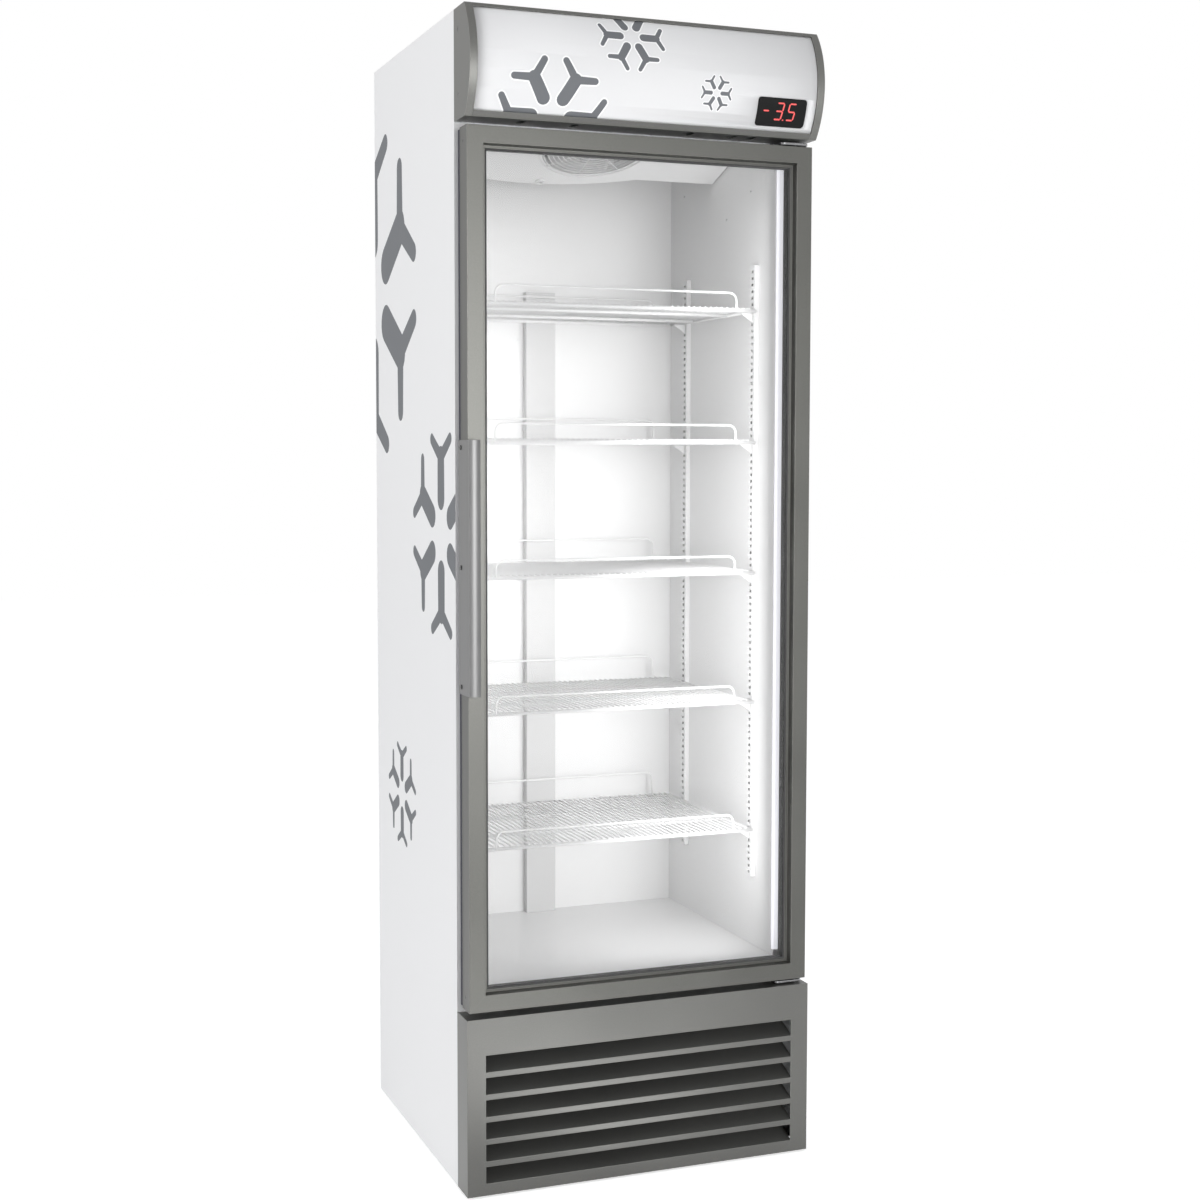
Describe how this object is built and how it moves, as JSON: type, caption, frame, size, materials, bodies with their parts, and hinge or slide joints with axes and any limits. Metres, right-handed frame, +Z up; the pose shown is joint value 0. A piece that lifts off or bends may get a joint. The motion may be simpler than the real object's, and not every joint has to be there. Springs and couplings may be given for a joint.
{
  "type": "reach-in refrigerator",
  "caption": "Upright display refrigerator: insulated cabinet, hinged glass door, wire shelves, curved lit canopy with temperature display, louvred grille over the machine compartment.",
  "frame": {"origin": "on the floor, in the middle of the overall width and depth", "axes": "+Z up, +Y towards the back, so the door faces -Y; +X to the right as seen from the front, where the hinges are"},
  "size_m": [0.64, 0.627, 1.99],
  "materials": {
    "white_panel": "satin",
    "white_liner": "satin",
    "white_steel": "satin",
    "white_wire": "gloss",
    "sign_white": "satin",
    "lamp_lens": "satin",
    "foam": "matte",
    "grey_paint": "satin",
    "grey_plastic": "satin",
    "grey_aluminium": "satin",
    "galvanised_steel": "satin",
    "steel": "satin",
    "chrome": "polished",
    "aluminium": "satin",
    "coil_aluminium": "satin",
    "glass": "polished",
    "display_black": "gloss",
    "gasket_rubber": "matte",
    "black_plastic": "satin",
    "black_motor": "matte",
    "compressor_black": "gloss",
    "copper": "satin"
  },
  "bodies": {
    "cabinet": {"base_frame": "galvanised_steel", "cabinet_screws": "steel", "cable_gland": "black_plastic", "canopy_back_plate": "galvanised_steel", "canopy_cap_left": "grey_plastic", "canopy_cap_right": "grey_plastic", "canopy_lamp": "lamp_lens", "canopy_trim_bottom": "grey_paint", "canopy_trim_top": "grey_paint", "compressor": "compressor_black", "compressor_feet": "gasket_rubber", "condensate_tray": "black_plastic", "condenser_coil": "coil_aluminium", "condenser_motor": "black_motor", "drain_duct": "white_liner", "electrical_box": "black_plastic", "evaporator_coil": "coil_aluminium", "evaporator_cover": "white_liner", "evaporator_motor": "black_motor", "fan_guard": "steel", "fan_shroud": "galvanised_steel", "filter_drier": "copper", "foam_insulation": "foam", "front_frame": "white_liner", "front_grille": "grey_paint", "hinge_bracket_bottom": "chrome", "hinge_bracket_top": "chrome", "hinge_pins": "chrome", "inner_liner": "white_liner", "interior_lamp": "lamp_lens", "levelling_feet": "black_plastic", "pilaster_front_left": "white_steel", "pilaster_front_right": "white_steel", "pilaster_rear_left": "white_steel", "pilaster_rear_right": "white_steel", "rear_grille": "galvanised_steel", "rear_panel": "galvanised_steel", "refrigerant_lines": "copper", "shelf_1": "white_wire", "shelf_2": "white_wire", "shelf_3": "white_wire", "shelf_4": "white_wire", "shelf_5": "white_wire", "shelf_clips": "white_steel", "side_panel_left": "white_panel", "side_panel_right": "white_panel", "sign_panel": "sign_white", "temperature_display": "display_black", "temperature_probe": "black_plastic", "top_panel": "white_panel"},
    "door": {"door_frame": "grey_aluminium", "glass_outer": "glass", "glass_inner": "glass", "glass_spacer": "aluminium", "door_gasket": "gasket_rubber", "door_handle": "aluminium", "door_screws": "steel", "hinge_bushes": "black_plastic"},
    "evaporator_wheel": {"evaporator_fan": "black_plastic"},
    "condenser_wheel": {"condenser_fan": "aluminium"}
  },
  "joints": [
    {"name": "door_hinge", "type": "hinge", "parent": "cabinet", "child": "door", "pos_m": [0.304, -0.257, 1.058], "axis": [0, 0, 1], "range_deg": [0, 110]},
    {"name": "evaporator_fan_spin", "type": "hinge", "parent": "cabinet", "child": "evaporator_wheel", "pos_m": [0, -0.04082, 1.81006], "axis": [0, 0.3244, 0.9459], "continuous": true},
    {"name": "condenser_fan_spin", "type": "hinge", "parent": "cabinet", "child": "condenser_wheel", "pos_m": [-0.06, -0.1505, 0.1315], "axis": [0, 1, 0], "continuous": true}
  ]
}
